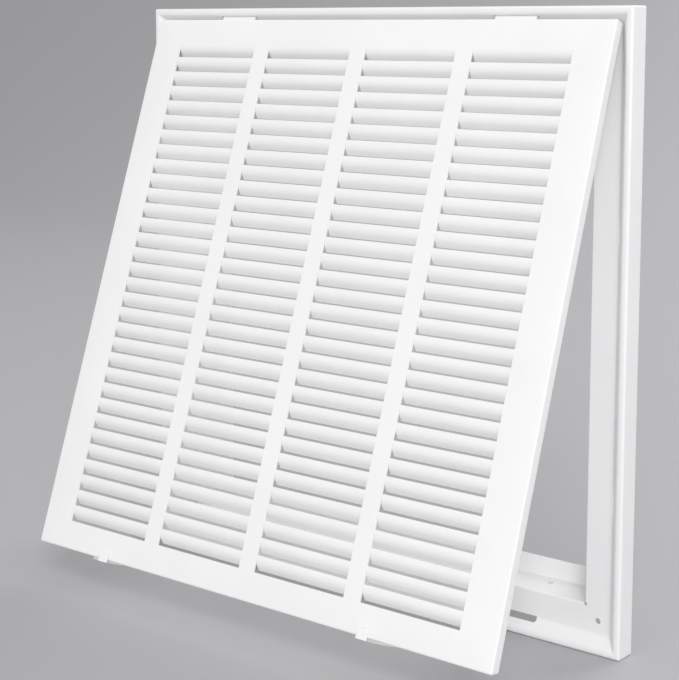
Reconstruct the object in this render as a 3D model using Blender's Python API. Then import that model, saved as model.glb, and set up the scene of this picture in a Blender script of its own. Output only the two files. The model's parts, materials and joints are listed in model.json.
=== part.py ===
"""Square return air grille: a mitred sheet-steel frame with a louvred door.

The door is one stamped tray. It hooks into the top rail and swings out from
the bottom, where two sliding latches snap into slots in the bottom rail.
The origin is at the middle of the frame's bottom edge, in the plane of the
rim's front band. X runs along the frame, Y points back into the duct, Z is up.
"""

import math

import bmesh
import bpy
from mathutils import Matrix, Vector

MM = 0.001

# Duct that the grille covers, and the sheet that everything is folded from
DUCT_SIDE = 406.4 * MM
DUCT_CLEARANCE = 0.25 * MM
SHEET = 0.8 * MM

# Rail profile, from the frame's outer edge inward and from its front band back
RAIL_WIDTH = 33.6 * MM
BAND_WIDTH = 5.2 * MM
SLOPE_RUN = 7.2 * MM
FLANGE_DEPTH = 8.4 * MM
OUTER_RETURN_DEPTH = 18.0 * MM
NECK_LENGTH = 33.2 * MM
LIP_WIDTH = 15.8 * MM
OUTER_BEND = 2.0 * MM
RIM_BEND = 4.0 * MM
INNER_BEND = 1.4 * MM
BEND_STEPS = 3
MITRE_SEAM = 0.3 * MM

# Holes and slots in the rails
SCREW_HOLE = 4.6 * MM
FLANGE_HOLE_INSET = 23.0 * MM
NECK_HOLE_OFFSET = 158.5 * MM
NECK_HOLE_FROM_BACK = 11.2 * MM
CORNER_RELIEF = 3.2 * MM
SIDE_SLOT_LENGTH = 21.0 * MM
SIDE_SLOT_FRONT = 5.3 * MM
SIDE_SLOT_BACK = 8.3 * MM
SIDE_SLOT_LOW = -121.5 * MM
SIDE_SLOT_HIGH = 77.0 * MM
ROUND_STEPS = 16

# Door tray
DOOR_PROUD = 2.0 * MM
DOOR_RETURN = 7.8 * MM
DOOR_BEND = 1.2 * MM
DOOR_CORNER = 2.4 * MM
CORNER_STEPS = 4
BOTTOM_DRAFT = 1.0 * MM
RIM_CLEARANCE = 0.63 * MM
REST_ANGLE = math.radians(18.8)

# Louvre field
COLUMNS = 4
FIELD_SIDE = 31.0 * MM
FIELD_TOP = 22.9 * MM
FIELD_FOOT = 21.0 * MM
COLUMN_RIB = 15.4 * MM
ROW_RIB = 2.4 * MM
WINDOW_HEIGHT = 10.4 * MM
BLADE_SIDE_GAP = 0.4 * MM
BLADE_CLEARANCE = 1.7 * MM
BLADE_BEND = 7.0 * MM
BLADE_SLANT = math.radians(39.0)
BLADE_STEPS = 3

# Hinge hooks: angles welded under the door's top return
HOOK_LENGTH = 36.0 * MM
HOOK_SHEET = 1.0 * MM
HOOK_CENTRE = 138.0 * MM
HOOK_DEPTH = 2.6 * MM
PIVOT_INSET = 7.7 * MM
HOOK_RISE = 3.0 * MM
HOOK_FOOT = 3.8 * MM
HOOK_SLOT_BELOW = 1.9 * MM
HOOK_SLOT_ABOVE = 2.3 * MM
HOOK_SLOT_SIDE = 4.0 * MM

# Latches: a thumb tab in front of the door and a bar behind its bottom return
LEFT_THUMB = -148.5 * MM
RIGHT_THUMB = 116.6 * MM
LEFT_BAR_START = -168.0 * MM
RIGHT_BAR_START = 106.5 * MM
BAR_LENGTH = 37.5 * MM
BAR_HEIGHT = 1.8 * MM
BAR_THICK = 1.4 * MM
BAR_REACH = 3.0 * MM
BAR_TIP_REACH = 0.7 * MM
BAR_LEVEL_PART = 0.25
BAR_STEPS = 8
STEM_WIDTH = 9.6 * MM
THUMB_THICK = 1.2 * MM
THUMB_TOP = 6.4 * MM
THUMB_FOOT = 2.0 * MM
THUMB_ROUND = 0.4 * MM
NECK_WIDTH = 5.0 * MM
NECK_HEIGHT = 0.9 * MM
LATCH_TRAVEL = 3.1 * MM
LEFT_BAR_SLOT = -142.0 * MM
RIGHT_BAR_SLOT = 132.6 * MM
BAR_SLOT_LENGTH = 56.0 * MM
BAR_SLOT_MARGIN = 0.5 * MM
BAR_SLOT_PAST_FLANGE = 0.6 * MM

# Gap between pieces that touch, and the run-out of a cutter past its sheet
GAP = 0.3 * MM
PAST = 2.0 * MM

# Sizes that follow
FRAME_SIDE = DUCT_SIDE - 2 * DUCT_CLEARANCE + 2 * RAIL_WIDTH
HALF_FRAME = FRAME_SIDE / 2
LIP_DEPTH = FLANGE_DEPTH + NECK_LENGTH - SHEET
SLOPE_TURN = math.atan2(SLOPE_RUN, FLANGE_DEPTH)
RIM_AT_RETURN = BAND_WIDTH + (DOOR_RETURN - DOOR_PROUD) * SLOPE_RUN / FLANGE_DEPTH
DOOR_MARGIN = RIM_AT_RETURN + RIM_CLEARANCE
DOOR_FOOT = DOOR_MARGIN - BOTTOM_DRAFT
DOOR_WIDTH = FRAME_SIDE - 2 * DOOR_MARGIN
DOOR_HEIGHT = FRAME_SIDE - DOOR_MARGIN - DOOR_FOOT
PIVOT = Vector((0.0, HOOK_DEPTH, FRAME_SIDE - PIVOT_INSET))
WINDOW_WIDTH = (DOOR_WIDTH - 2 * FIELD_SIDE - (COLUMNS - 1) * COLUMN_RIB) / COLUMNS
BLADE_LENGTH = WINDOW_WIDTH - 2 * BLADE_SIDE_GAP
BLADE_DROP = WINDOW_HEIGHT - BLADE_CLEARANCE
COLUMN_PITCH = WINDOW_WIDTH + COLUMN_RIB
ROW_PITCH = WINDOW_HEIGHT + ROW_RIB
BAR_DEPTH = DOOR_RETURN + GAP
LATCH_FOOT = BOTTOM_DRAFT + SHEET + GAP
ROWS = int((DOOR_HEIGHT - FIELD_TOP - FIELD_FOOT + ROW_RIB) / ROW_PITCH)

STEEL_COLOUR = (0.86, 0.87, 0.88, 1.0)


def paint(name, colour, roughness=0.38):
    """Return a white powder-coat material."""
    material = bpy.data.materials.new(name)
    material.use_nodes = True
    shader = material.node_tree.nodes["Principled BSDF"]
    shader.inputs["Base Color"].default_value = colour
    shader.inputs["Roughness"].default_value = roughness
    shader.inputs["Metallic"].default_value = 0.0
    material.diffuse_color = colour
    return material


def add_object(name, bm, material=None):
    """Turn a bmesh of closed bodies into an object with outward faces."""
    bmesh.ops.recalc_face_normals(bm, faces=bm.faces)
    mesh = bpy.data.meshes.new(name)
    bm.to_mesh(mesh)
    bm.free()
    if material:
        mesh.materials.append(material)
    part = bpy.data.objects.new(name, mesh)
    bpy.context.collection.objects.link(part)
    return part


def helper(part):
    """Mark an object as one that only shapes another."""
    part.hide_render = True
    part.display_type = "WIRE"
    return part


def combine(part, other, operation):
    """Cut another object from a part, or join it on."""
    step = part.modifiers.new(operation.title(), "BOOLEAN")
    step.operation = operation
    step.solver = "EXACT"
    step.object = helper(other)


def add_prism(bm, outline, travel):
    """Add the closed body that a flat outline sweeps along a vector."""
    near = [bm.verts.new(point) for point in outline]
    far = [bm.verts.new(Vector(point) + travel) for point in outline]
    count = len(outline)
    bm.faces.new(near[::-1])
    bm.faces.new(far)
    for i in range(count):
        j = (i + 1) % count
        bm.faces.new((near[i], near[j], far[j], far[i]))


def add_box(bm, low, high):
    """Add a box between two corners."""
    outline = [(low[0], low[1], low[2]), (high[0], low[1], low[2]),
               (high[0], high[1], low[2]), (low[0], high[1], low[2])]
    add_prism(bm, outline, Vector((0, 0, high[2] - low[2])))


def circle(radius, steps=ROUND_STEPS):
    """Return points round a circle in a plane."""
    turns = [math.tau * (i + 0.5) / steps for i in range(steps)]
    return [(radius * math.cos(turn), radius * math.sin(turn)) for turn in turns]


def stadium(length, width, steps=ROUND_STEPS):
    """Return the outline of a slot with round ends, its length along the first axis."""
    radius = width / 2
    reach = length / 2 - radius
    points = []
    for side in (1, -1):
        for i in range(steps // 2 + 1):
            turn = math.pi * i / (steps // 2) - math.pi / 2
            points.append((side * (reach + radius * math.cos(turn)), side * radius * math.sin(turn)))
    return points


def rounded_path(corners):
    """Return points and sheet-side normals along a path with rounded corners.

    Each corner is (inset, depth, bend radius); the ends have no radius.
    """
    spots = [Vector(corner[:2]) for corner in corners]
    runs = [(b - a).normalized() for a, b in zip(spots, spots[1:])]
    path = [(spots[0], Vector((-runs[0].y, runs[0].x)))]
    for spot, corner, before, after in zip(spots[1:-1], corners[1:-1], runs, runs[1:]):
        radius = corner[2]
        turn = math.atan2(before.x * after.y - before.y * after.x, before.dot(after))
        side = math.copysign(1.0, turn)
        start = spot - before * radius * math.tan(abs(turn) / 2)
        centre = start + side * radius * Vector((-before.y, before.x))
        for i in range(BEND_STEPS + 1):
            spin = Matrix.Rotation(turn * i / BEND_STEPS, 2)
            path.append((centre + spin @ (start - centre), spin @ Vector((-before.y, before.x))))
    path.append((spots[-1], Vector((-runs[-1].y, runs[-1].x))))
    return path


def rail_section():
    """Return the closed cross-section of a rail as (inset, depth) points."""
    neck = RAIL_WIDTH + SHEET
    path = rounded_path([
        (0.0, OUTER_RETURN_DEPTH, 0.0),
        (0.0, 0.0, OUTER_BEND),
        (BAND_WIDTH, 0.0, RIM_BEND),
        (BAND_WIDTH + SLOPE_RUN, FLANGE_DEPTH, RIM_BEND),
        (neck, FLANGE_DEPTH, INNER_BEND),
        (neck, LIP_DEPTH, INNER_BEND),
        (RAIL_WIDTH + LIP_WIDTH, LIP_DEPTH, 0.0),
    ])
    front = [point for point, normal in path]
    back = [point + normal * SHEET for point, normal in path]
    return front + back[::-1]


def rail_cutter(slots):
    """Return the cutter for one rail, in the rail's own coordinates."""
    bm = bmesh.new()
    low = -HALF_FRAME
    hole = SCREW_HOLE / 2
    for side in (-1, 1):
        corner = side * (HALF_FRAME - FLANGE_HOLE_INSET)
        rim = [(corner + a, FLANGE_DEPTH - PAST, low + FLANGE_HOLE_INSET + b) for a, b in circle(hole)]
        add_prism(bm, rim, Vector((0, SHEET + 2 * PAST, 0)))
        inset = RAIL_WIDTH + SHEET / 2
        corner = side * (HALF_FRAME - inset)
        rim = [(corner + a, FLANGE_DEPTH - PAST, low + inset + b) for a, b in circle(CORNER_RELIEF / 2)]
        add_prism(bm, rim, Vector((0, SHEET + 2 * PAST, 0)))
        depth = LIP_DEPTH + SHEET - NECK_HOLE_FROM_BACK
        rim = [(side * NECK_HOLE_OFFSET + a, depth + b, low + RAIL_WIDTH - PAST) for a, b in circle(hole)]
        add_prism(bm, rim, Vector((0, 0, SHEET + 2 * PAST)))
    for slot in slots:
        add_rim_slot(bm, *slot)
    return add_object("rail_cutter", bm)


def add_rim_slot(bm, centre, length, front, back):
    """Add the cutter of a slot through the slope, between two depths."""
    inset = BAND_WIDTH / 2
    reach = BAND_WIDTH + SLOPE_RUN + PAST - inset
    middle = (front + back) / 2
    rim = [(centre + a, middle + b, -HALF_FRAME + inset) for a, b in stadium(length, back - front)]
    add_prism(bm, rim, Vector((0, 0, reach)))


def add_hook_slot(bm, centre):
    """Add the cutter of a slot that a hinge hook turns in, square to the slope."""
    along = Vector((0, math.cos(SLOPE_TURN), math.sin(SLOPE_TURN)))
    into = Vector((0, math.sin(SLOPE_TURN), -math.cos(SLOPE_TURN)))
    pivot = Vector((centre, HOOK_DEPTH, -HALF_FRAME + PIVOT_INSET))
    middle = pivot + along * (HOOK_SLOT_ABOVE - HOOK_SLOT_BELOW) / 2 - into * PAST
    length = HOOK_LENGTH + 2 * HOOK_SLOT_SIDE
    width = HOOK_SLOT_ABOVE + HOOK_SLOT_BELOW
    rim = [middle + Vector((a, 0, 0)) + along * b for a, b in stadium(length, width)]
    add_prism(bm, rim, into * (SHEET + 2 * PAST))


def make_rail(name, turn, material, slots=(), hooks=()):
    """Make one mitred rail, turned about the frame's middle to its side."""
    bm = bmesh.new()
    section = rail_section()
    shift = MITRE_SEAM / 2 * math.sqrt(2)
    ends = []
    for side in (-1, 1):
        ends.append([bm.verts.new((side * (HALF_FRAME - inset - shift), depth, inset - HALF_FRAME))
                     for inset, depth in section])
    bm.faces.new(ends[0])
    bm.faces.new(ends[1][::-1])
    for i in range(len(section)):
        j = (i + 1) % len(section)
        bm.faces.new((ends[0][i], ends[0][j], ends[1][j], ends[1][i]))
    rail = add_object(name, bm, material)
    cutter = rail_cutter(slots)
    if hooks:
        bm = bmesh.new()
        for centre in hooks:
            add_hook_slot(bm, centre)
        second = add_object("hook_slots", bm)
        combine(rail, second, "DIFFERENCE")
        place_on_side(second, turn)
    combine(rail, cutter, "DIFFERENCE")
    for part in (rail, cutter):
        place_on_side(part, turn)
    return rail


def place_on_side(part, turn):
    """Turn an object made for the bottom rail to another side of the frame."""
    part.location = (0, 0, HALF_FRAME)
    part.rotation_euler = (0, turn, 0)


def door_point(across, up, depth):
    """Return a point of the closed door, from its foot and face, about the pivot."""
    return Vector((across, depth - DOOR_PROUD, DOOR_FOOT + up)) - PIVOT


def window_lines():
    """Return the lines across and up that bound the louvre windows and blades."""
    across = []
    for column in range(COLUMNS):
        middle = (column - (COLUMNS - 1) / 2) * COLUMN_PITCH
        for half in (-WINDOW_WIDTH / 2, -BLADE_LENGTH / 2, BLADE_LENGTH / 2, WINDOW_WIDTH / 2):
            across.append(middle + half)
    up = []
    for row in reversed(range(ROWS)):
        top = DOOR_HEIGHT - FIELD_TOP - row * ROW_PITCH
        up += [top - WINDOW_HEIGHT, top]
    return across, up


def blade_path():
    """Return (drop, depth) points down a blade's front, with normals to its back."""
    path = []
    for i in range(1, BLADE_STEPS + 1):
        turn = BLADE_SLANT * i / BLADE_STEPS
        path.append((Vector((BLADE_BEND * math.sin(turn), BLADE_BEND * (1 - math.cos(turn)))),
                     Vector((-math.sin(turn), math.cos(turn)))))
    bend_end, normal = path[-1]
    rest = BLADE_DROP - bend_end.x
    path.append((Vector((BLADE_DROP, bend_end.y + rest * math.tan(BLADE_SLANT))), normal))
    return path


def add_blade(bm, left, right, top, hung):
    """Hang one blade from the four lattice corners of its window's top edge."""
    lines = [hung]
    for point, normal in blade_path():
        back = point + normal * SHEET
        line = [bm.verts.new(door_point(across, top - spot.x, spot.y))
                for spot in (point, back) for across in (left, right)]
        lines.append(line)
    for (a, b, c, d), (e, f, g, h) in zip(lines, lines[1:]):
        bm.faces.new((a, b, f, e))
        bm.faces.new((c, g, h, d))
        bm.faces.new((a, e, g, c))
        bm.faces.new((b, d, h, f))
    a, b, c, d = lines[-1]
    bm.faces.new((a, b, d, c))


def tray_ring(bm, inset, foot_inset, depth, radius):
    """Add a rounded rectangle of points round the door, and return it."""
    ring = []
    half = DOOR_WIDTH / 2 - inset - radius
    low = foot_inset + radius
    high = DOOR_HEIGHT - inset - radius
    for start, across, up in ((-90, half, low), (0, half, high), (90, -half, high), (180, -half, low)):
        for i in range(CORNER_STEPS + 1):
            turn = math.radians(start + 90 * i / CORNER_STEPS)
            ring.append(bm.verts.new(door_point(
                across + radius * math.cos(turn), up + radius * math.sin(turn), depth)))
    return ring


def tray_side(bm, skin):
    """Add the rings down one side of the tray's fold; skin is 0 outside, SHEET inside."""
    rings = []
    bend = DOOR_BEND - skin
    for i in range(BEND_STEPS + 1):
        turn = math.pi / 2 * i / BEND_STEPS
        inset = skin + bend * (1 - math.sin(turn))
        depth = skin + bend * (1 - math.cos(turn))
        rings.append(tray_ring(bm, inset, inset, depth, max(DOOR_CORNER - inset, GAP)))
    rings.append(tray_ring(bm, skin, skin + BOTTOM_DRAFT, DOOR_RETURN, max(DOOR_CORNER - skin, GAP)))
    return rings


def bridge_rings(bm, first, second):
    """Join two rings of points with quads."""
    count = len(first)
    for i in range(count):
        j = (i + 1) % count
        bm.faces.new((first[i], first[j], second[j], second[i]))


def add_margins(bm, lattice, ring):
    """Fill the flat margin between the louvre lattice and the tray's fold."""
    corner = len(ring) // 4
    middle = corner // 2
    sides = [
        [column[0] for column in lattice],
        lattice[-1],
        [column[-1] for column in lattice][::-1],
        lattice[0][::-1],
    ]
    for index, side in enumerate(sides):
        first = middle + (index - 1) * corner
        arc = [ring[(first + i) % len(ring)] for i in range(corner + 1)]
        bm.faces.new(side + arc[::-1])


def make_door(material, parent):
    """Make the louvred door tray, pressed and folded from one sheet."""
    bm = bmesh.new()
    across, up = window_lines()
    front, back = ([[bm.verts.new(door_point(a, u, depth)) for u in up] for a in across]
                   for depth in (0.0, SHEET))
    windows = []

    def is_open(i, j):
        inside = 0 <= i < len(across) - 1 and 0 <= j < len(up) - 1
        return inside and i % 4 != 3 and j % 2 == 0

    for i in range(len(across) - 1):
        for j in range(len(up) - 1):
            if is_open(i, j):
                windows.append((i, j))
                continue
            for sheet in (front, back):
                bm.faces.new((sheet[i][j], sheet[i + 1][j], sheet[i + 1][j + 1], sheet[i][j + 1]))
    for i, j in windows:
        ends = [((i, j), (i + 1, j))]
        if i % 4 == 1:
            hung = [sheet[k][j + 1] for sheet in (front, back) for k in (i, i + 1)]
            add_blade(bm, across[i], across[i + 1], up[j + 1], hung)
        else:
            ends.append(((i, j + 1), (i + 1, j + 1)))
            side = i if i % 4 == 0 else i + 1
            ends.append(((side, j), (side, j + 1)))
        for (a, b), (c, d) in ends:
            bm.faces.new((front[a][b], front[c][d], back[c][d], back[a][b]))

    outer = tray_side(bm, 0.0)
    inner = tray_side(bm, SHEET)
    add_margins(bm, front, outer[0])
    add_margins(bm, back, inner[0])
    for rings in (outer, inner):
        for first, second in zip(rings, rings[1:]):
            bridge_rings(bm, first, second)
    bridge_rings(bm, outer[-1], inner[-1])
    door = add_object("door_panel", bm, material)
    cutter = door_cutter()
    combine(door, cutter, "DIFFERENCE")
    door.parent = parent
    cutter.parent = parent


def door_cutter():
    """Return the cutter for the latch slots and the hook slits."""
    bm = bmesh.new()
    hook = HOOK_DEPTH + DOOR_PROUD
    half = NECK_WIDTH / 2 + GAP
    for middle in (LEFT_THUMB, RIGHT_THUMB):
        add_box(bm, door_point(middle - half, LATCH_FOOT - GAP, -PAST),
                door_point(middle + half, LATCH_FOOT + NECK_HEIGHT + LATCH_TRAVEL + GAP, SHEET + GAP))
    for middle in (-HOOK_CENTRE, HOOK_CENTRE):
        half = HOOK_LENGTH / 2 + GAP
        deep = HOOK_SHEET / 2 + GAP
        add_box(bm, door_point(middle - half, DOOR_HEIGHT - SHEET - GAP, hook - deep),
                door_point(middle + half, DOOR_HEIGHT + PAST, hook + deep))
    return add_object("door_cutter", bm)


def make_hook(name, centre, material, parent):
    """Make a hinge hook: an angle under the top return, its leg up through it."""
    bm = bmesh.new()
    middle = HOOK_DEPTH + DOOR_PROUD
    near = middle - HOOK_SHEET / 2
    far = middle + HOOK_SHEET / 2
    seat = DOOR_HEIGHT - SHEET - GAP
    tip = FRAME_SIDE - PIVOT_INSET + HOOK_RISE - DOOR_FOOT
    left = centre - HOOK_LENGTH / 2
    section = [
        (near, seat), (near, tip), (far, tip), (far, seat - HOOK_SHEET),
        (far - HOOK_FOOT, seat - HOOK_SHEET), (far - HOOK_FOOT, seat),
    ]
    outline = [door_point(left, up, depth) for depth, up in section]
    add_prism(bm, outline, Vector((HOOK_LENGTH, 0, 0)))
    hook = add_object(name, bm, material)
    hook.parent = parent


def bar_outline(start):
    """Return the outline of a latch bar whose lower edge curves up to its right tip."""
    low = []
    for i in range(BAR_STEPS + 1):
        part = i / BAR_STEPS
        rise = max(part - BAR_LEVEL_PART, 0.0) / (1.0 - BAR_LEVEL_PART)
        reach = BAR_REACH - (BAR_REACH - BAR_TIP_REACH) * rise ** 2
        low.append((start + BAR_LENGTH * part, -reach))
    return low + [(across, up + BAR_HEIGHT) for across, up in reversed(low)]


def make_latch(name, thumb, bar_start, material, parent):
    """Make a latch: thumb tab, neck through the door, and bar behind its return."""
    half = STEM_WIDTH / 2
    bm = bmesh.new()
    add_box(bm, door_point(thumb - half, -THUMB_FOOT, -GAP - THUMB_THICK),
            door_point(thumb + half, THUMB_TOP, -GAP))
    latch = add_object(name, bm, material)
    latch.data.shade_flat()
    edge = latch.modifiers.new("Round", "BEVEL")
    edge.width = THUMB_ROUND
    edge.segments = 2

    bm = bmesh.new()
    half = NECK_WIDTH / 2
    lap = SHEET / 2
    add_box(bm, door_point(thumb - half, LATCH_FOOT, -GAP - lap),
            door_point(thumb + half, LATCH_FOOT + NECK_HEIGHT, SHEET + GAP + lap))
    neck = add_object(name + "_neck", bm)

    bm = bmesh.new()
    start = SHEET + GAP
    far = BAR_DEPTH + BAR_THICK
    low = BAR_HEIGHT / 2 - BAR_REACH
    section = [(start, LATCH_FOOT), (start, LATCH_FOOT + NECK_HEIGHT),
               (far, LATCH_FOOT + NECK_HEIGHT), (far, low), (BAR_DEPTH, low), (BAR_DEPTH, LATCH_FOOT)]
    outline = [door_point(thumb - STEM_WIDTH / 2, up, depth) for depth, up in section]
    add_prism(bm, outline, Vector((STEM_WIDTH, 0, 0)))
    clasp = add_object(name + "_clasp", bm)

    bm = bmesh.new()
    skin = GAP / 3
    outline = [door_point(across, up, BAR_DEPTH - skin) for across, up in bar_outline(bar_start)]
    add_prism(bm, outline, Vector((0, BAR_THICK + 2 * skin, 0)))
    bar = add_object(name + "_bar", bm)

    for piece in (neck, clasp, bar):
        combine(latch, piece, "UNION")
        piece.parent = parent
    latch.parent = parent


def main():
    """Build the grille."""
    for old in list(bpy.data.objects):
        bpy.data.objects.remove(old, do_unlink=True)

    frame_paint = paint("frame_paint", STEEL_COLOUR)
    quarter = math.pi / 2
    reach = (BAR_SLOT_LENGTH, BAR_DEPTH - DOOR_PROUD - BAR_SLOT_MARGIN,
             FLANGE_DEPTH + SHEET + BAR_SLOT_PAST_FLANGE)
    bars = [(LEFT_BAR_SLOT, *reach), (RIGHT_BAR_SLOT, *reach)]
    reach = (SIDE_SLOT_LENGTH, SIDE_SLOT_FRONT, SIDE_SLOT_BACK)
    left = [(-SIDE_SLOT_LOW, *reach), (-SIDE_SLOT_HIGH, *reach)]
    right = [(SIDE_SLOT_LOW, *reach), (SIDE_SLOT_HIGH, *reach)]
    make_rail("frame_bottom", 0.0, frame_paint, slots=bars)
    make_rail("frame_left", quarter, frame_paint, slots=left)
    make_rail("frame_top", 2 * quarter, frame_paint, hooks=(-HOOK_CENTRE, HOOK_CENTRE))
    make_rail("frame_right", -quarter, frame_paint, slots=right)

    hinge = bpy.data.objects.new("door_hinge", None)
    bpy.context.collection.objects.link(hinge)
    hinge.location = PIVOT
    hinge.rotation_euler = (-REST_ANGLE, 0, 0)
    make_door(paint("door_paint", STEEL_COLOUR), hinge)
    hook_paint = paint("hook_paint", STEEL_COLOUR)
    latch_paint = paint("latch_paint", STEEL_COLOUR, roughness=0.45)
    make_hook("hinge_hook_left", -HOOK_CENTRE, hook_paint, hinge)
    make_hook("hinge_hook_right", HOOK_CENTRE, hook_paint, hinge)
    make_latch("latch_left", LEFT_THUMB, LEFT_BAR_START, latch_paint, hinge)
    make_latch("latch_right", RIGHT_THUMB, RIGHT_BAR_START, latch_paint, hinge)


main()
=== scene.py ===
"""The looks of a white powder-coated return air grille with a louvred door."""

from __future__ import annotations

import json
import logging
import math
from collections.abc import Callable
from dataclasses import dataclass
from enum import Enum
from typing import Any

import bmesh
import bpy
from mathutils import Matrix, Vector

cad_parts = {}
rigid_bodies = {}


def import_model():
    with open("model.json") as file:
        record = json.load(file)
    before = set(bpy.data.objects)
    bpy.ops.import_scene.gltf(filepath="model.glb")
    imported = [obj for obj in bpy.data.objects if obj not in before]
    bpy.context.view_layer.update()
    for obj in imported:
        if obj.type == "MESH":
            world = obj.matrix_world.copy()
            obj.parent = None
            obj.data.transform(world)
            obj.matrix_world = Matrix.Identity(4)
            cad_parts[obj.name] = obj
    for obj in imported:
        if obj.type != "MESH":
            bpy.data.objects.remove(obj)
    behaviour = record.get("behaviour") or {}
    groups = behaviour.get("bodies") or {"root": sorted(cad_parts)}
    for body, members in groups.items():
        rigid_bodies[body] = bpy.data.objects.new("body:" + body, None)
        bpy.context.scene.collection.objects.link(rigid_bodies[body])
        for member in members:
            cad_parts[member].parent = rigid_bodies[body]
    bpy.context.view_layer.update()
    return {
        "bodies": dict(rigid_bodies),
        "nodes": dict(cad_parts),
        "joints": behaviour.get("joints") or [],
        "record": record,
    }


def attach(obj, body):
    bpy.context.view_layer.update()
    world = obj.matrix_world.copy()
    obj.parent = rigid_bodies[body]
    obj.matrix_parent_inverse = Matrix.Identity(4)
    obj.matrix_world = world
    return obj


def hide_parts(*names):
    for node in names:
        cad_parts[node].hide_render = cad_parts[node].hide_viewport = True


LOG = logging.getLogger("grille")
MM = 0.001
FRAME_SIDE = 473.1 * MM
SHEET = 0.8 * MM
HOOKS = (-138.0 * MM, 138.0 * MM)
# Places nearer than CLOSE are the same, points nearer than WELD are merged, and SLIVER is a flaw's width
CLOSE = 0.1 * MM
WELD = 0.01 * MM
SLIVER = 0.002 * MM
# A face looks to the front or the back where its normal's Y is larger than this, either way
FACES_FRONT = 0.9
# Numbers of the Mix node's colour sockets, because its sockets for other types have the same names
MIX_COLOURS = (6, 7)
MIX_RESULT = 2


class Tint(Enum):
    """The sRGB colours of the finishes and of the studio."""

    POWDER_WHITE = "F2F2F2"
    POWDER_SHADE = "EAEAEB"
    NYLON_WHITE = "F3F3F2"
    NYLON_SHADE = "ECECEA"
    FLOOR = "AFAFB1"
    BACKDROP = "B3B3B5"


def linear(tint: Tint) -> tuple[float, float, float, float]:
    """Turn an sRGB colour into the linear one that shaders use.

    Args:
        tint: The colour.

    Returns:
        Red, green, blue and an alpha of 1.
    """
    parts = [int(tint.value[i:i + 2], 16) / 255 for i in (0, 2, 4)]
    shades = [c / 12.92 if c <= 0.04045 else ((c + 0.055) / 1.055) ** 2.4 for c in parts]
    return (*shades, 1.0)


def add_node(tree: bpy.types.NodeTree, kind: str, settings: dict | None = None,
             links: dict | None = None) -> bpy.types.Node:
    """Add a node with its settings and links.

    Args:
        tree: The node tree.
        kind: The node's type name.
        settings: Values by attribute or input name.
        links: Output sockets by the input name that each feeds.

    Returns:
        The node.
    """
    node = tree.nodes.new(kind)
    for name, value in (settings or {}).items():
        if name in node.inputs:
            node.inputs[name].default_value = value
        else:
            setattr(node, name, value)
    for name, socket in (links or {}).items():
        tree.links.new(socket, node.inputs[name])
    return node


@dataclass(frozen=True)
class Coating:
    """A coloured surface with a faint mottle and a fine relief.

    The mottle is how the film's thickness varies, and the relief is the
    orange peel of a baked powder film, or the matt texture of a mould.
    """

    name: str
    colour: Tint
    shade: Tint
    roughness: float
    roughness_spread: float
    mottle_mm: float
    relief_mm: float
    relief_height_mm: float
    ior: float = 1.5

    def material(self) -> bpy.types.Material:
        """Make the material.

        Returns:
            The material, read in Object coordinates.
        """
        made = bpy.data.materials.new(self.name)
        made.use_nodes = True
        tree = made.node_tree
        shader = tree.nodes["Principled BSDF"]
        place = add_node(tree, "ShaderNodeTexCoord").outputs["Object"]
        mottle = add_node(tree, "ShaderNodeTexNoise", {
            "Scale": 1 / (self.mottle_mm * MM), "Detail": 3.0, "Roughness": 0.55}, {"Vector": place})
        tone = add_node(tree, "ShaderNodeMix", {"data_type": "RGBA"}, {"Factor": mottle.outputs["Fac"]})
        for socket, tint in zip(MIX_COLOURS, (self.colour, self.shade)):
            tone.inputs[socket].default_value = linear(tint)
        gloss = add_node(tree, "ShaderNodeMapRange", {
            "To Min": self.roughness - self.roughness_spread,
            "To Max": self.roughness + self.roughness_spread}, {"Value": mottle.outputs["Fac"]})
        relief = add_node(tree, "ShaderNodeTexNoise", {
            "Scale": 1 / (self.relief_mm * MM), "Detail": 2.0, "Roughness": 0.4}, {"Vector": place})
        bump = add_node(tree, "ShaderNodeBump", {
            "Strength": 1.0, "Distance": self.relief_height_mm * MM}, {"Height": relief.outputs["Fac"]})
        tree.links.new(tone.outputs[MIX_RESULT], shader.inputs["Base Color"])
        tree.links.new(gloss.outputs["Result"], shader.inputs["Roughness"])
        tree.links.new(bump.outputs["Normal"], shader.inputs["Normal"])
        shader.inputs["IOR"].default_value = self.ior
        return made


# Polyester powder coat baked on steel: satin, with an orange peel about 2 mm across
POWDER_COAT = Coating(
    "white_powder_coat", Tint.POWDER_WHITE, Tint.POWDER_SHADE, roughness=0.42, roughness_spread=0.04,
    mottle_mm=60.0, relief_mm=2.0, relief_height_mm=0.012)
# Moulded nylon: a little warmer and duller than the paint, with a fine mould texture
NYLON = Coating(
    "white_moulded_nylon", Tint.NYLON_WHITE, Tint.NYLON_SHADE, roughness=0.5, roughness_spread=0.05,
    mottle_mm=8.0, relief_mm=0.6, relief_height_mm=0.01, ior=1.53)


def deselect() -> None:
    """Leave edit mode and select nothing."""
    if bpy.context.object and bpy.context.object.mode == "EDIT":
        bpy.ops.object.mode_set(mode="OBJECT")
    bpy.ops.object.select_all(action="DESELECT")


def select_only(piece: bpy.types.Object) -> None:
    """Select one object and make it active.

    Args:
        piece: The object.
    """
    deselect()
    piece.select_set(True)
    bpy.context.view_layer.objects.active = piece


def pick(kind: str, test: Callable[[Any], bool]) -> None:
    """Select the parts of the mesh in edit mode that pass a test.

    Args:
        kind: "verts", "edges" or "faces".
        test: Takes one of them and says whether it is selected.
    """
    mesh = bpy.context.edit_object.data
    bm = bmesh.from_edit_mesh(mesh)
    bpy.ops.mesh.select_all(action="DESELECT")
    bm.select_mode = {kind[:-1].upper()}
    for part in getattr(bm, kind):
        if test(part):
            part.select_set(True)
    bm.select_flush_mode()
    bmesh.update_edit_mesh(mesh)


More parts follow.
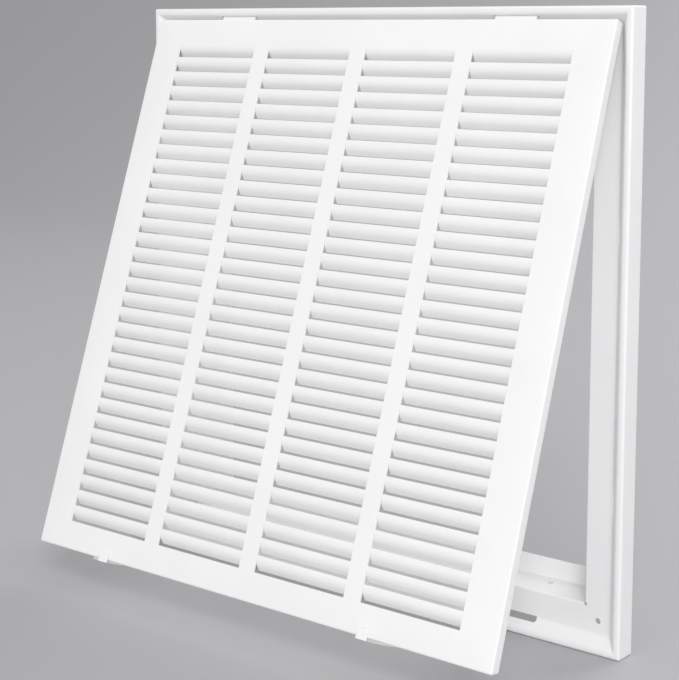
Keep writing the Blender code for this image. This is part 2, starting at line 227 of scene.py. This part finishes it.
def middle(part: bmesh.types.BMEdge | bmesh.types.BMFace) -> Vector:
    """Return the mean of a part's corners."""
    return sum((vert.co for vert in part.verts), Vector()) / len(part.verts)


def face_forward(piece: bpy.types.Object) -> None:
    """Turn a sheet's normals so that its largest face looks to the front.

    Args:
        piece: The sheet, before it has a thickness.
    """
    select_only(piece)
    bpy.ops.object.mode_set(mode="EDIT")
    bpy.ops.mesh.select_all(action="SELECT")
    bpy.ops.mesh.normals_make_consistent(inside=False)
    bpy.ops.object.mode_set(mode="OBJECT")
    level = [face for face in piece.data.polygons if abs(face.normal.y) > FACES_FRONT]
    front = max(level, key=lambda face: face.area)
    if front.normal.y > 0:
        bpy.ops.object.mode_set(mode="EDIT")
        bpy.ops.mesh.select_all(action="SELECT")
        bpy.ops.mesh.flip_normals()
        bpy.ops.object.mode_set(mode="OBJECT")


def thicken(piece: bpy.types.Object, sheet: float) -> None:
    """Give a sheet its thickness, toward its back.

    Args:
        piece: The sheet.
        sheet: How thick it becomes.
    """
    face_forward(piece)
    wall = piece.modifiers.new("Wall", "SOLIDIFY")
    wall.thickness = sheet
    wall.offset = -1.0
    wall.use_even_offset = True
    bpy.ops.object.modifier_apply(modifier=wall.name)


@dataclass(frozen=True)
class Slot:
    """A round-ended opening: its middle, and the turn that takes Z to its axis and X along it."""

    place: tuple[float, float, float]
    turn: tuple[float, float, float]
    length: float
    width: float
    depth: float
    sides: int = 24

    def cutter(self) -> bpy.types.Object:
        """Model the solid that punches the opening.

        Returns:
            A cylinder drawn out along the slot.
        """
        deselect()
        bpy.ops.mesh.primitive_cylinder_add(vertices=self.sides, radius=self.width / 2, depth=self.depth)
        made = bpy.context.object
        bpy.ops.object.mode_set(mode="EDIT")
        reach = (self.length - self.width) / 2
        if reach > 0:
            for side in (-1, 1):
                pick("verts", lambda v: v.co.x * side > 0)
                bpy.ops.transform.translate(value=(side * reach, 0, 0))
        bpy.ops.object.mode_set(mode="OBJECT")
        made.rotation_euler = self.turn
        made.location = self.place
        return made


def block(place: tuple[float, float, float], size: tuple[float, float, float]) -> bpy.types.Object:
    """Add a box.

    Args:
        place: Its middle.
        size: Its sizes along X, Y and Z.

    Returns:
        The box.
    """
    deselect()
    bpy.ops.mesh.primitive_cube_add(size=1.0, location=place)
    made = bpy.context.object
    made.scale = size
    return made


def cut(piece: bpy.types.Object, cutters: list[bpy.types.Object]) -> None:
    """Cut solids out of a piece, remove them, and clear the cut faces of slivers.

    Args:
        piece: What is cut.
        cutters: The solids, which don't meet one another.
    """
    deselect()
    for cutter in cutters:
        cutter.select_set(True)
    bpy.context.view_layer.objects.active = cutters[0]
    bpy.ops.object.join()
    tool = bpy.context.object
    bpy.ops.object.transform_apply(location=True, rotation=True, scale=True)
    select_only(piece)
    step = piece.modifiers.new("Openings", "BOOLEAN")
    step.operation = "DIFFERENCE"
    step.solver = "EXACT"
    step.object = tool
    bpy.ops.object.modifier_apply(modifier=step.name)
    bpy.data.objects.remove(tool)
    bpy.ops.object.mode_set(mode="EDIT")
    pick("faces", lambda face: len(face.verts) > 4)
    bpy.ops.mesh.quads_convert_to_tris(quad_method="BEAUTY", ngon_method="BEAUTY")
    bpy.ops.mesh.select_all(action="SELECT")
    bpy.ops.mesh.dissolve_degenerate(threshold=SLIVER)
    bpy.ops.object.mode_set(mode="OBJECT")


def finish_piece(piece: bpy.types.Object, name: str, finish: Coating, smooth: float) -> None:
    """Smooth a piece's gentle edges, name it and give it its coating.

    Args:
        piece: The piece.
        name: Its name.
        finish: Its coating.
        smooth: The edge angle, in degrees, up to which it is shaded smooth.
    """
    select_only(piece)
    bpy.ops.object.shade_smooth_by_angle(angle=math.radians(smooth))
    piece.name = name
    piece.data.materials.clear()
    piece.data.materials.append(finish.material())


@dataclass
class FrameSheet:
    """The frame: a folded rail profile carried round a square, welded and painted as one."""

    side: float = FRAME_SIDE
    sheet: float = SHEET
    return_depth: float = 18.0 * MM
    band: float = 5.2 * MM
    slope: float = 7.2 * MM
    flange_depth: float = 8.4 * MM
    neck_inset: float = 34.4 * MM
    lip_depth: float = 40.8 * MM
    lip_inset: float = 49.4 * MM
    outer_bend: float = 2.0 * MM
    rim_bend: float = 4.0 * MM
    inner_bend: float = 1.4 * MM
    corner: float = 1.2 * MM
    corner_steps: int = 6
    steps: int = 7
    smooth: float = 40.0
    hole: float = 4.6 * MM
    hole_inset: float = 23.0 * MM
    neck_hole_reach: float = 158.5 * MM
    neck_hole_depth: float = 30.4 * MM
    relief: float = 3.2 * MM
    punch: float = 4.8 * MM
    side_slot: tuple[float, float] = (5.3 * MM, 8.3 * MM)
    bar_slot: tuple[float, float] = (5.6 * MM, 9.8 * MM)
    slot_inset: float = 8.5 * MM
    slot_punch: float = 11.8 * MM
    bar_slots: tuple[float, float] = (-142.0 * MM, 132.6 * MM)
    bar_slot_length: float = 56.0 * MM
    side_slots: tuple[float, float] = (-121.5 * MM, 77.0 * MM)
    side_slot_length: float = 21.0 * MM
    hook_slots: tuple[float, float] = HOOKS
    hook_slot_depth: float = 2.75 * MM
    hook_slot_inset: float = 7.83 * MM
    hook_slot_size: tuple[float, float] = (40.6 * MM, 4.2 * MM)

    def profile(self) -> list[tuple[float, float]]:
        """Draw the rail's front from its outer edge inward, with its bends as arcs.

        Returns:
            The (inset, depth) points.
        """
        corners = [
            (0.0, self.return_depth, 0.0), (0.0, 0.0, self.outer_bend), (self.band, 0.0, self.rim_bend),
            (self.band + self.slope, self.flange_depth, self.rim_bend),
            (self.neck_inset, self.flange_depth, self.inner_bend),
            (self.neck_inset, self.lip_depth, self.inner_bend), (self.lip_inset, self.lip_depth, 0.0)]
        spots = [Vector(corner[:2]) for corner in corners]
        points = [spots[0]]
        for before, spot, after, corner in zip(spots, spots[1:], spots[2:], corners[1:]):
            way_in = (spot - before).normalized()
            way_out = (after - spot).normalized()
            turn = way_in.angle_signed(way_out)
            start = spot - way_in * corner[2] * math.tan(abs(turn) / 2)
            side = math.copysign(1.0, turn)
            centre = start + side * corner[2] * Vector((way_in.y, -way_in.x))
            for i in range(self.steps + 1):
                points.append(centre + Matrix.Rotation(-turn * i / self.steps, 2) @ (start - centre))
        points.append(spots[-1])
        return [(spot.x, spot.y) for spot in points]

    def fold(self) -> bpy.types.Object:
        """Model the sheet: a square of edges with round corners, drawn inward along the profile.

        Returns:
            The sheet, without its thickness.
        """
        points = self.profile()
        half = self.side / 2
        deselect()
        bpy.ops.mesh.primitive_plane_add(size=self.side, rotation=(math.pi / 2, 0, 0),
                                         location=(0, self.return_depth, half))
        bpy.ops.object.transform_apply(location=True, rotation=True, scale=True)
        sheet = bpy.context.object
        bpy.ops.object.mode_set(mode="EDIT")
        bpy.ops.mesh.select_all(action="SELECT")
        bpy.ops.mesh.bevel(offset=self.corner, segments=self.corner_steps, affect="VERTICES",
                           offset_type="OFFSET")
        bpy.ops.mesh.select_all(action="SELECT")
        bpy.ops.mesh.delete(type="ONLY_FACE")
        bpy.ops.mesh.select_all(action="SELECT")
        for (inset, depth), (next_inset, next_depth) in zip(points, points[1:]):
            bpy.ops.mesh.extrude_edges_move(TRANSFORM_OT_translate={"value": (0, next_depth - depth, 0)})
            grow = (half - next_inset) / (half - inset)
            bpy.ops.transform.resize(value=(grow, 1, grow), center_override=(0, 0, half))
        bpy.ops.object.mode_set(mode="OBJECT")
        return sheet

    def openings(self) -> list[Slot]:
        """Lay out every hole and slot of the four rails.

        Returns:
            The holes and slots.
        """
        half = self.side / 2
        flat, upright, across = (math.pi / 2, 0, 0), (0, 0, 0), (0, math.pi / 2, 0)
        round_holes = ((self.hole_inset, self.hole), (self.neck_inset - self.sheet / 2, self.relief))
        reach = self.neck_hole_reach
        wall = half - self.neck_inset + self.sheet / 2
        found = []
        for x in (-1, 1):
            for z in (-1, 1):
                for inset, width in round_holes:
                    spot = half - inset
                    place = (x * spot, self.flange_depth + self.sheet / 2, half + z * spot)
                    found.append(Slot(place, flat, width, width, self.punch))
                for place, turn in (((x * reach, self.neck_hole_depth, half + z * wall), upright),
                                    ((x * wall, self.neck_hole_depth, half + z * reach), across)):
                    found.append(Slot(place, turn, self.hole, self.hole, self.punch))
            for up in self.side_slots:
                front, back = self.side_slot
                place = (x * (half - self.slot_inset), (front + back) / 2, half + up)
                found.append(Slot(place, across, self.side_slot_length, back - front, self.slot_punch))
        front, back = self.bar_slot
        for centre in self.bar_slots:
            place = (centre, (front + back) / 2, self.slot_inset)
            found.append(Slot(place, upright, self.bar_slot_length, back - front, self.slot_punch))
        lean = (-math.atan2(self.slope, self.flange_depth), 0, 0)
        for centre in self.hook_slots:
            place = (centre, self.hook_slot_depth, self.side - self.hook_slot_inset)
            found.append(Slot(place, lean, *self.hook_slot_size, self.punch))
        return found

    def build(self) -> bpy.types.Object:
        """Model the frame.

        Returns:
            The frame's sheet.
        """
        frame = self.fold()
        thicken(frame, self.sheet)
        cut(frame, [slot.cutter() for slot in self.openings()])
        finish_piece(frame, "frame_sheet", POWDER_COAT, self.smooth)
        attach(frame, "frame")
        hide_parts("frame_bottom", "frame_left", "frame_top", "frame_right")
        return frame


@dataclass
class DoorSheet:
    """The louvred door: one sheet, lanced, formed and folded, hung at its rest angle."""

    pivot: Vector
    rest_angle: float
    width: float = 451.5 * MM
    height: float = 452.5 * MM
    top_inset: float = 10.8 * MM
    frame_side: float = FRAME_SIDE
    proud: float = 2.0 * MM
    sheet: float = SHEET
    depth: float = 7.8 * MM
    bend: float = 1.2 * MM
    corner: float = 2.4 * MM
    corner_steps: int = 6
    smooth: float = 35.0
    draft: float = 1.0 * MM
    columns: int = 4
    rows: int = 32
    field_side: float = 31.0 * MM
    field_top: float = 22.9 * MM
    column_rib: float = 15.4 * MM
    row_rib: float = 2.4 * MM
    window_height: float = 10.4 * MM
    blade_gap: float = 0.2 * MM
    blade_drop: float = 8.7 * MM
    blade_bend: float = 9.0 * MM
    blade_slant: float = math.radians(45.0)
    blade_steps: int = 8
    fold_steps: int = 5
    thumbs: tuple[float, float] = (-148.5 * MM, 116.6 * MM)
    latch_slit_width: float = 5.6 * MM
    latch_slit_height: float = 4.6 * MM
    latch_slit_depth: float = 2.4 * MM
    latch_slit_up: float = 4.1 * MM
    hooks: tuple[float, float] = HOOKS
    hook_depth: float = 2.6 * MM
    hook_slit: tuple[float, float, float] = (36.6 * MM, 1.6 * MM, 2.4 * MM)

    @property
    def window_width(self) -> float:
        """The width of one louvre window."""
        return (self.width - 2 * self.field_side - (self.columns - 1) * self.column_rib) / self.columns

    def blade_steps_down(self) -> list[tuple[float, float]]:
        """Follow a blade from its window's top edge round its bend to its lip.

        Returns:
            The (down, back) move of each step.
        """
        spots = [(0.0, 0.0)]
        for i in range(1, self.blade_steps + 1):
            turn = self.blade_slant * i / self.blade_steps
            spots.append((self.blade_bend * math.sin(turn), self.blade_bend * (1 - math.cos(turn))))
        rest = self.blade_drop - spots[-1][0]
        spots.append((self.blade_drop, spots[-1][1] + rest * math.tan(self.blade_slant)))
        return [(b[0] - a[0], b[1] - a[1]) for a, b in zip(spots, spots[1:])]

    def make_tile(self) -> bpy.types.Object:
        """Model one louvre: a patch of sheet with its window cut and its blade pushed back.

        Returns:
            The tile, its window's top edge along X through the origin.
        """
        half = self.window_width / 2
        wide = self.window_width + self.column_rib
        tall = self.window_height + self.row_rib
        deselect()
        bpy.ops.mesh.primitive_plane_add(size=1.0, rotation=(math.pi / 2, 0, 0),
                                         location=(0, 0, -self.window_height / 2))
        tile = bpy.context.object
        tile.scale = (wide, tall, 1.0)
        bpy.ops.object.transform_apply(location=True, rotation=True, scale=True)
        bpy.ops.object.mode_set(mode="EDIT")
        cuts = [((-half, 0, 0), (1, 0, 0)), ((half, 0, 0), (1, 0, 0)),
                ((0, 0, 0), (0, 0, 1)), ((0, 0, -self.window_height), (0, 0, 1))]
        for place, normal in cuts:
            bpy.ops.mesh.select_all(action="SELECT")
            bpy.ops.mesh.bisect(plane_co=place, plane_no=normal)
        window = Vector((0, 0, -self.window_height / 2))
        pick("faces", lambda face: (middle(face) - window).length < CLOSE)
        bpy.ops.mesh.delete(type="ONLY_FACE")
        pick("edges", lambda edge: middle(edge).length < CLOSE)
        pull = 1 - 2 * self.blade_gap / self.window_width
        for index, (down, back) in enumerate(self.blade_steps_down()):
            bpy.ops.mesh.extrude_edges_move(TRANSFORM_OT_translate={"value": (0, back, -down)})
            if index == 0:
                bpy.ops.transform.resize(value=(pull, 1, 1), center_override=(0, 0, 0))
        bpy.ops.object.mode_set(mode="OBJECT")
        return tile

    def make_field(self, tile: bpy.types.Object) -> bpy.types.Object:
        """Copy the tile over the louvre field and join the copies into one sheet.

        Args:
            tile: One louvre.

        Returns:
            The field, in the closed door's place.
        """
        pitch_x = self.window_width + self.column_rib
        pitch_z = self.window_height + self.row_rib
        top = self.frame_side - self.top_inset - self.field_top
        tiles = []
        for column in range(self.columns):
            for row in range(self.rows):
                copy = tile.copy()
                copy.data = tile.data.copy()
                bpy.context.collection.objects.link(copy)
                across = (column - (self.columns - 1) / 2) * pitch_x
                copy.location = (across, -self.proud, top - row * pitch_z)
                tiles.append(copy)
        bpy.data.objects.remove(tile)
        deselect()
        for copy in tiles:
            copy.select_set(True)
        bpy.context.view_layer.objects.active = tiles[0]
        bpy.ops.object.join()
        bpy.ops.object.transform_apply(location=True, rotation=True, scale=True)
        return bpy.context.object

    def add_margin(self) -> None:
        """Widen the sheet in edit mode from the louvre field to the fold, and round its corners."""
        field_half = (self.columns * (self.window_width + self.column_rib)) / 2
        bpy.ops.mesh.select_all(action="SELECT")
        bpy.ops.mesh.remove_doubles(threshold=WELD)
        top = self.frame_side - self.top_inset - self.field_top + self.row_rib / 2
        low = top - self.rows * (self.window_height + self.row_rib)

        def on_rim(edge: bmesh.types.BMEdge) -> bool:
            """Say whether an edge lies on the field's outer border.

            Args:
                edge: An edge of the sheet.

            Returns:
                True where it does.
            """
            spots = [vert.co for vert in edge.verts]
            upright = all(abs(abs(s.x) - field_half) < CLOSE for s in spots)
            level = all(min(abs(s.z - top), abs(s.z - low)) < CLOSE for s in spots)
            return len(edge.link_faces) == 1 and (upright or level)

        pick("edges", on_rim)
        bpy.ops.mesh.extrude_edges_move(TRANSFORM_OT_translate={"value": (0, 0, 0)})
        high_edge = self.frame_side - self.top_inset - self.bend
        low_edge = self.frame_side - self.top_inset - self.height + self.bend
        half_width = self.width / 2 - self.bend
        grow = (half_width / field_half, 1, (high_edge - low_edge) / (top - low))
        bpy.ops.transform.resize(value=grow, center_override=(0, 0, (top + low) / 2))
        bpy.ops.transform.translate(value=(0, 0, (high_edge + low_edge - top - low) / 2))
        corners = [(x, z) for x in (-half_width, half_width) for z in (low_edge, high_edge)]

        def at_corner(vert: bmesh.types.BMVert) -> bool:
            """Say whether a point is one of the sheet's four corners."""
            return any(math.hypot(vert.co.x - x, vert.co.z - z) < CLOSE for x, z in corners)

        pick("edges", lambda e: len(e.link_faces) == 2 and any(at_corner(v) for v in e.verts))
        bpy.ops.mesh.dissolve_edges(use_verts=False)
        pick("verts", at_corner)
        bpy.ops.mesh.bevel(offset=self.corner - self.bend, segments=self.corner_steps, affect="VERTICES",
                           offset_type="OFFSET")

    def fold_edges(self) -> None:
        """Fold the sheet's edges back in edit mode, all round, with a round bend."""
        middle_z = self.frame_side - self.top_inset - self.height / 2
        half_x = self.width / 2
        half_z = self.height / 2
        inner_x = half_x - self.bend
        inner_z = half_z - self.bend

        def on_border(edge: bmesh.types.BMEdge) -> bool:
            """Say whether an edge lies on the sheet's outer border.

            Args:
                edge: An edge of the sheet.

            Returns:
                True where it does.
            """
            reach = self.corner + self.bend
            spots = [vert.co for vert in edge.verts]
            outside = (abs(s.x) > half_x - reach or abs(s.z - middle_z) > half_z - reach for s in spots)
            return len(edge.link_faces) == 1 and all(outside)

        pick("edges", on_border)
        size_x, size_z, back = inner_x, inner_z, 0.0
        for i in range(1, self.fold_steps + 1):
            turn = math.pi / 2 * i / self.fold_steps
            next_x = inner_x + self.bend * math.sin(turn)
            next_z = inner_z + self.bend * math.sin(turn)
            next_back = self.bend * (1 - math.cos(turn))
            self.extrude_rim(size_x, size_z, next_x, next_z, next_back - back, middle_z)
            size_x, size_z, back = next_x, next_z, next_back
        bpy.ops.mesh.extrude_edges_move(TRANSFORM_OT_translate={"value": (0, self.depth - back, 0)})
        end = self.depth - self.proud
        foot = middle_z - half_z + self.corner
        pick("verts", lambda vert: abs(vert.co.y - end) < CLOSE and vert.co.z < foot)
        bpy.ops.transform.translate(value=(0, 0, self.draft))

    @staticmethod
    def extrude_rim(size_x: float, size_z: float, next_x: float, next_z: float, back: float,
                    middle_z: float) -> None:
        """Extrude the selected border edges one step round the fold.

        Args:
            size_x: The border's half width.
            size_z: The border's half height.
            next_x: The half width that it grows to.
            next_z: The half height that it grows to.
            back: How far back the step goes.
            middle_z: The height of the border's middle.
        """
        bpy.ops.mesh.extrude_edges_move(TRANSFORM_OT_translate={"value": (0, back, 0)})
        bpy.ops.transform.resize(value=(next_x / size_x, 1, next_z / size_z),
                                 center_override=(0, 0, middle_z))

    def cutters(self) -> list[bpy.types.Object]:
        """Model the boxes that cut the latch slits and the hook slits.

        Returns:
            The boxes.
        """
        foot = self.frame_side - self.top_inset - self.height
        slit = (self.latch_slit_width, self.latch_slit_depth, self.latch_slit_height)
        face = self.sheet / 2 - self.proud
        boxes = [block((thumb, face, foot + self.latch_slit_up), slit) for thumb in self.thumbs]
        for hook in self.hooks:
            boxes.append(block((hook, self.hook_depth, foot + self.height), self.hook_slit))
        return boxes

    def build(self) -> bpy.types.Object:
        """Model the door and hang it on its body.

        Returns:
            The door's sheet.
        """
        door = self.make_field(self.make_tile())
        select_only(door)
        bpy.ops.object.mode_set(mode="EDIT")
        self.add_margin()
        self.fold_edges()
        bpy.ops.object.mode_set(mode="OBJECT")
        thicken(door, self.sheet)
        cut(door, self.cutters())
        door.matrix_world = (Matrix.Translation(self.pivot) @ Matrix.Rotation(-self.rest_angle, 4, "X")
                             @ Matrix.Translation(-self.pivot))
        select_only(door)
        bpy.ops.object.transform_apply(location=True, rotation=True, scale=True)
        finish_piece(door, "door_sheet", POWDER_COAT, self.smooth)
        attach(door, "door")
        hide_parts("door_panel")
        return door


@dataclass(frozen=True)
class Lamp:
    """A square soft light: where it hangs, its side in metres and its power in watts."""

    name: str
    place: tuple[float, float, float]
    size: float
    power: float


LAMPS = (
    Lamp("camera_side", (3.2, -4.1, 1.5), size=1.6, power=58.0),
    Lamp("high_key", (3.0, -3.2, 3.4), size=2.0, power=97.0),
    Lamp("side", (4.2, -1.2, 1.8), size=1.6, power=4.0),
    Lamp("front", (0.3, -5.0, 1.3), size=1.6, power=12.0),
    Lamp("behind", (0.6, 3.0, 2.6), size=3.0, power=75.0),
)


@dataclass
class Studio:
    """The floor, the backdrop, the soft lights and the camera."""

    floor_side: float = 40.0
    floor_back: float = 4.0
    floor_drop: float = 0.0002
    floor_roughness: float = 0.7
    wall_height: float = 6.0
    cove: float = 2.4
    cove_steps: int = 24
    lamp_aim: tuple[float, float, float] = (0.0, -0.05, 0.24)
    sensor_width: float = 36.0
    clip_start: float = 0.05
    camera_place: tuple[float, float, float] = (0.7855, -0.9764, 0.4526)
    camera_turn: tuple[float, float, float] = (82.796, -0.279, 37.621)
    lens: float = 84.152
    shift: tuple[float, float] = (-0.089, -0.1545)
    world_light: float = 0.69

    def add_floor(self) -> None:
        """Add a wide plain floor that the frame stands on, and that curves up behind it."""
        deselect()
        middle_y = self.floor_back - self.floor_side / 2
        bpy.ops.mesh.primitive_plane_add(size=self.floor_side, location=(0, middle_y, -self.floor_drop))
        floor = bpy.context.object
        floor.name = "floor"
        bpy.ops.object.transform_apply(location=True, rotation=True, scale=True)
        bpy.ops.object.mode_set(mode="EDIT")
        pick("edges", lambda edge: all(vert.co.y > 0 for vert in edge.verts))
        bpy.ops.mesh.extrude_edges_move(TRANSFORM_OT_translate={"value": (0, 0, self.wall_height)})
        pick("edges", lambda edge: all(vert.co.y > 0 > vert.co.z for vert in edge.verts))
        bpy.ops.mesh.bevel(offset=self.cove, segments=self.cove_steps, affect="EDGES")
        bpy.ops.object.mode_set(mode="OBJECT")
        bpy.ops.object.shade_smooth()
        made = bpy.data.materials.new("studio_floor")
        made.use_nodes = True
        shader = made.node_tree.nodes["Principled BSDF"]
        shader.inputs["Base Color"].default_value = linear(Tint.FLOOR)
        shader.inputs["Roughness"].default_value = self.floor_roughness
        floor.data.materials.append(made)

    def add_world(self) -> None:
        """Light the scene evenly, with a plain backdrop where the camera looks."""
        world = bpy.data.worlds.new("studio")
        bpy.context.scene.world = world
        world.use_nodes = True
        tree = world.node_tree
        tree.nodes.clear()
        rays = add_node(tree, "ShaderNodeLightPath")
        seen = add_node(tree, "ShaderNodeMath", {"operation": "MAXIMUM"})
        tree.links.new(rays.outputs["Is Camera Ray"], seen.inputs[0])
        tree.links.new(rays.outputs["Is Glossy Ray"], seen.inputs[1])
        light = add_node(tree, "ShaderNodeBackground", {
            "Color": (1, 1, 1, 1), "Strength": self.world_light})
        drop = add_node(tree, "ShaderNodeBackground", {
            "Color": linear(Tint.BACKDROP), "Strength": 1.0})
        mixed = add_node(tree, "ShaderNodeMixShader")
        tree.links.new(seen.outputs[0], mixed.inputs[0])
        tree.links.new(light.outputs[0], mixed.inputs[1])
        tree.links.new(drop.outputs[0], mixed.inputs[2])
        add_node(tree, "ShaderNodeOutputWorld", None, {"Surface": mixed.outputs[0]})

    def add_light(self, lamp: Lamp) -> None:
        """Add a soft light aimed at the grille's middle.

        Args:
            lamp: The light.
        """
        data = bpy.data.lights.new(lamp.name, "AREA")
        data.size = lamp.size
        data.energy = lamp.power
        light = bpy.data.objects.new(lamp.name, data)
        bpy.context.collection.objects.link(light)
        light.location = lamp.place
        aim = Vector(self.lamp_aim) - Vector(lamp.place)
        light.rotation_euler = aim.to_track_quat("-Z", "Y").to_euler()

    def add_camera(self) -> None:
        """Add the camera at the photograph's viewing angle."""
        data = bpy.data.cameras.new("camera")
        data.lens = self.lens
        data.sensor_width = self.sensor_width
        data.shift_x, data.shift_y = self.shift
        data.clip_start = self.clip_start
        camera = bpy.data.objects.new("camera", data)
        bpy.context.collection.objects.link(camera)
        camera.location = self.camera_place
        camera.rotation_euler = [math.radians(turn) for turn in self.camera_turn]
        bpy.context.scene.camera = camera

    def build(self) -> None:
        """Set up the whole studio."""
        bpy.context.scene.view_settings.view_transform = "Standard"
        self.add_floor()
        self.add_world()
        for lamp in LAMPS:
            self.add_light(lamp)
        self.add_camera()


def dress_nodes(nodes: dict[str, bpy.types.Object]) -> None:
    """Give the frame's own solids their finishes.

    Args:
        nodes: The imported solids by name.
    """
    powder = POWDER_COAT.material()
    nylon = NYLON.material()
    for name, node in nodes.items():
        node.data.materials.clear()
        node.data.materials.append(nylon if name.startswith("latch") else powder)


def main() -> None:
    """Build the grille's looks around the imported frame."""
    logging.basicConfig(level=logging.INFO, format="%(message)s")
    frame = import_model()
    for old in [o for o in bpy.context.scene.objects if o.type in {"CAMERA", "LIGHT"}]:
        bpy.data.objects.remove(old)
    dress_nodes(frame["nodes"])
    hinge = next(joint for joint in frame["joints"] if joint["name"] == "door_hinge")
    door = DoorSheet(Vector(hinge["pos_m"]), -math.radians(hinge["range_deg"][0])).build()
    shell = FrameSheet().build()
    for piece in (door, shell):
        LOG.info("%s: %d faces", piece.name, len(piece.data.polygons))
    Studio().build()


if __name__ == "__main__":
    main()
